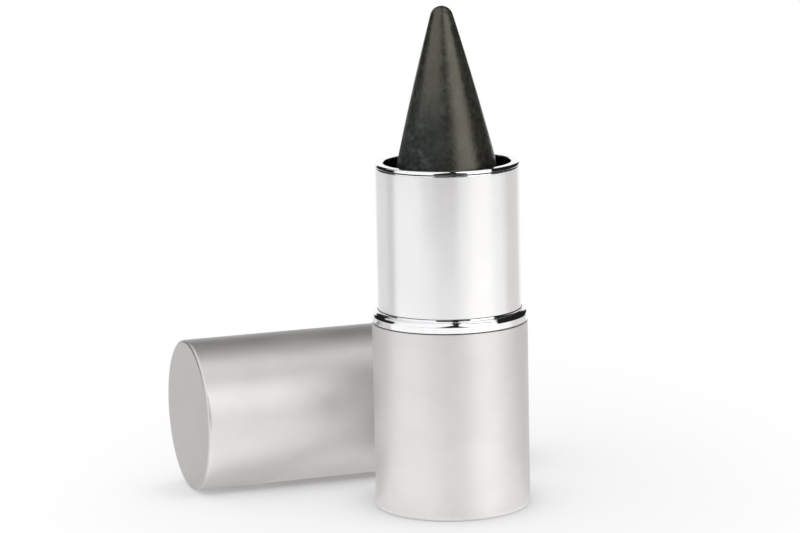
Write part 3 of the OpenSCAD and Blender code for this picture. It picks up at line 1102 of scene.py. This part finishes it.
def cone(side_steps=48, tip_steps=20):
    """Outline of the bowed cone and its rounded tip, from the shoulder up to the pole."""
    high = STICK_TOP - CONE_LOW
    lean = math.atan((STICK_R - TIP_R) / (high - TIP_R))
    tip_a = lean + math.atan(4 * CONE_BOW / high)
    tip_z = STICK_TOP - TIP_R
    end = (TIP_R * math.cos(tip_a), tip_z + TIP_R * math.sin(tip_a))
    points = []
    for i in range(1, side_steps):
        t = i / side_steps
        bow = 4 * CONE_BOW * t * (1 - t)
        r = STICK_R + (end[0] - STICK_R) * t + bow * math.cos(lean)
        z = CONE_LOW + (end[1] - CONE_LOW) * t + bow * math.sin(lean)
        points.append((r, z, 0))
    for i in range(tip_steps):
        a = tip_a + (math.pi / 2 - tip_a) * i / tip_steps
        points.append((TIP_R * math.cos(a), tip_z + TIP_R * math.sin(a), 0))
    return [*points, (0, STICK_TOP, 0)]


print("points on the cone", len(cone()))

# %% Turn and cast the stick
CARRIER_TOP = ends("carrier_cup")[1][2]
STRAIGHT_TOP = CONE_LOW - 0.3
STRAIGHT_STEPS = 6
LEAN_BY = 0.35 * MM
LEANS = {
    "Lean": tuple(-LEAN_BY * part for part in to_right),
    "Lean from": CARRIER_TOP * MM,
    "Lean to": STICK_TOP * MM,
}

straight_high = STRAIGHT_TOP - CARRIER_TOP
straight = [
    (STICK_R, CARRIER_TOP + i * straight_high / STRAIGHT_STEPS, 0) for i in range(STRAIGHT_STEPS + 1)
]
stick_section = [
    (0, STICK_LOW, 0),
    (STICK_R, STICK_LOW, 0.3),
    *straight,
    (STICK_R, CONE_LOW, 0.15),
    *cone(),
]
turned(
    "kohl",
    "kohl_stick",
    "carrier",
    "kohl",
    kohl_finish,
    stick_section,
    then=[(cast_group, LEANS)],
)

# %% [markdown]
# The works inside
#
# The carrier, the guide tube, the cam tube and the insert are moulded pieces whose shapes are
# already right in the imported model. They keep their own meshes and only get a finish, as do the
# silicone ring and the steel weight. Most of them only show when the stick is turned down.

# %% Give the works their finishes
WORKS = {
    "carrier_cup": black_finish,
    "guide_tube": black_finish,
    "cam_tube": black_finish,
    "base_insert": black_finish,
    "drag_ring": silicone_finish,
    "base_weight": steel_finish,
}
for node, finish in WORKS.items():
    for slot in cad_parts[node].material_slots:
        slot.material = finish
print("finished", sorted(WORKS))

# %% [markdown]
# The table
#
# The table is a large pale sheet. Close to where the container and the cap rest it is an
# ordinary matt surface, so it catches the soft shadows where they touch it; that matt zone is
# darker than the white round it, and as it is laid round those rest places it is partly painted
# shade, which stays there when the cap is lifted. Further out it goes over to plain white for the
# camera, and that makes the edge between table and background vanish, as a curved sheet of paper
# does in a studio. From below it lets the view through.

# %% Lay the table
TABLE_SIDE = 0.6
TABLE_FRONT = 0.2
TABLE_BACK = 1.5
TABLE_CORNERS = [
    (-TABLE_SIDE, TABLE_FRONT),
    (TABLE_SIDE, TABLE_FRONT),
    (TABLE_SIDE, -TABLE_BACK),
    (-TABLE_SIDE, -TABLE_BACK),
]
table_places = [
    tuple(r * side + c * front for r, c in zip(to_right, to_camera)) for side, front in TABLE_CORNERS
]
table_mesh = bpy.data.meshes.new("table")
table_mesh.from_pydata(table_places, [], [(0, 1, 2, 3)])
table = bpy.data.objects.new("table", table_mesh)
bpy.context.scene.collection.objects.link(table)
print("the table faces", "up" if table_mesh.polygons[0].normal.z > 0 else "down")

# %% Measure distances on the table
CAP_MIDDLE = CAP_LEFT + CAP_LONG / 2
CAP_TOUCH = 3.5 * MM
BEHIND_COUNTS = 0.45
SHADOW_FADES = 3 * MM
SHADOW_LIFTED = 0.6
WHITE_FROM = (20 * MM, 60 * MM)
METAL_SEES = (0.6, 1.0)
METAL_SEES_AT = (0.0, 8 * MM)

table_finish, tree, at = new_finish("table")
split = tree.add("ShaderNodeSeparateXYZ", {0: at})
sideways = split.out("X") * to_right[0] + split.out("Y") * to_right[1]
away = split.out("X") * -to_camera[0] + split.out("Y") * -to_camera[1]
behind = tree.maths("MAXIMUM", away, 0.0)
distance = tree.length(sideways, away - behind * BEHIND_COUNTS)
past_cap = abs(split.out("X") - CAP_MIDDLE * MM) - CAP_LONG / 2 * MM
beside_cap = tree.maths("MAXIMUM", past_cap, 0.0)
to_cap = tree.length(beside_cap, split.out("Y") - CAP_Y * MM) - CAP_TOUCH
to_base = tree.length(sideways, away) - SHELL_R * MM
contact = tree.maths("MAXIMUM", tree.maths("MINIMUM", to_cap, to_base), 0.0)
# partly painted shade: the shadow zone is tied to the rest places of the cap and the container
lifted = (1 - tree.maths("EXPONENT", contact / -SHADOW_FADES)) * SHADOW_LIFTED
far = tree.step(distance, *WHITE_FROM)
for_camera = 1 - (1 - lifted) * (1 - far)
for_metal = tree.step(contact, *METAL_SEES_AT, *METAL_SEES)
print("the middle of the cap is at", CAP_MIDDLE, CAP_Y)

# %% [markdown]
# What metal sees in the table
#
# The camera looks down a little, so the upright walls reflect the table, and a table that is
# evenly white makes them flat. In such a room the right side of the table gets more light, the
# back on both sides gets less, and the card on the left darkens its own side. Shiny rays
# therefore meet a tone that depends on which way from the container a place on the table lies.

# %% Finish the table
TABLE_TONE = (1.03, 1.03, 1.03)
TABLE_MATT = (0.90, 0.90, 0.90)
TABLE_TONES = {
    "bright right": ((10.0, 40.0), (60.0, 86.0), (1.19, 1.19, 1.18)),
    "dark back right": ((88.0, 112.0), (142.0, 156.0), (0.73, 0.72, 0.71)),
    "dim back left": ((-160.0, -150.0), (-116.0, -108.0), (0.80, 0.80, 0.80)),
    "dark card": ((-116.0, -108.0), (-98.0, -90.0), (0.66, 0.66, 0.66)),
}

ray = tree.add("ShaderNodeLightPath", out="Is Camera Ray")
glossy = ray.out("Is Glossy Ray")
clear_ray = tree.maths("MAXIMUM", ray, ray.out("Is Transmission Ray"))
fade = clear_ray * for_camera + glossy * (1 - clear_ray) * for_metal
around = tree.maths("ARCTAN2", sideways, away * -1) * DEGREES
seen = tree.blend(glossy, WHITE, TABLE_TONE)
for rise, fall, tone in TABLE_TONES.values():
    seen = tree.blend(tree.band(around, rise, fall) * glossy, seen, tone)
matt = tree.add("ShaderNodeBsdfDiffuse", {"Color": TABLE_MATT})
bright = tree.add("ShaderNodeEmission", {"Color": seen, "Strength": 1.0})
top = tree.add("ShaderNodeMixShader", {0: fade, 1: matt, 2: bright})
clear = tree.add("ShaderNodeBsdfTransparent")
below = tree.add("ShaderNodeNewGeometry", out="Backfacing")
shade(tree, tree.add("ShaderNodeMixShader", {0: below, 1: top, 2: clear}))
table_finish.cycles.emission_sampling = "NONE"
table_mesh.materials.append(table_finish)
print("tones on the table", sorted(TABLE_TONES))

# %% Set the view transform
bpy.context.scene.view_settings.view_transform = "Standard"
